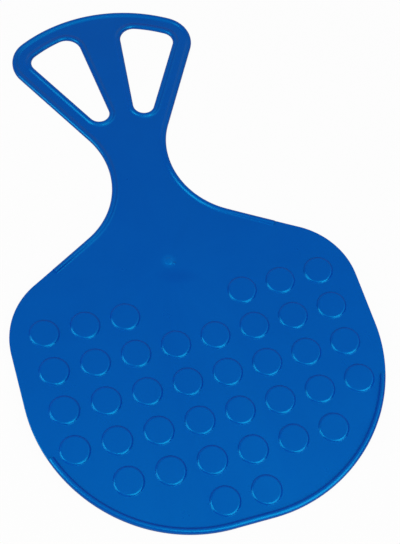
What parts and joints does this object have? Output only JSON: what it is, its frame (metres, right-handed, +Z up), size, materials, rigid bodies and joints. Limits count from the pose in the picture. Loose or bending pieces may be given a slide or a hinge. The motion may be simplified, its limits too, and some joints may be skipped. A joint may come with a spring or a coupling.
{
  "type": "bum slider",
  "caption": "Flat moulded snow slider: a rounded, dished seat with rows of low anti-slip discs, a narrow neck and a flared handle with hand openings and raised rims",
  "frame": {"origin": "Middle of the plate in plan, on the plane that the underside rests on", "axes": "+Y runs from the seat's end to the handle, +X across the seat, +Z up from the underside through the seat face"},
  "size_m": [0.324, 0.548, 0.0116],
  "materials": {
    "blue_polyethylene": "satin injection-moulded polyethylene with a fine grain"
  },
  "bodies": {
    "root": {"slider_moulding": "blue_polyethylene"}
  },
  "joints": []
}
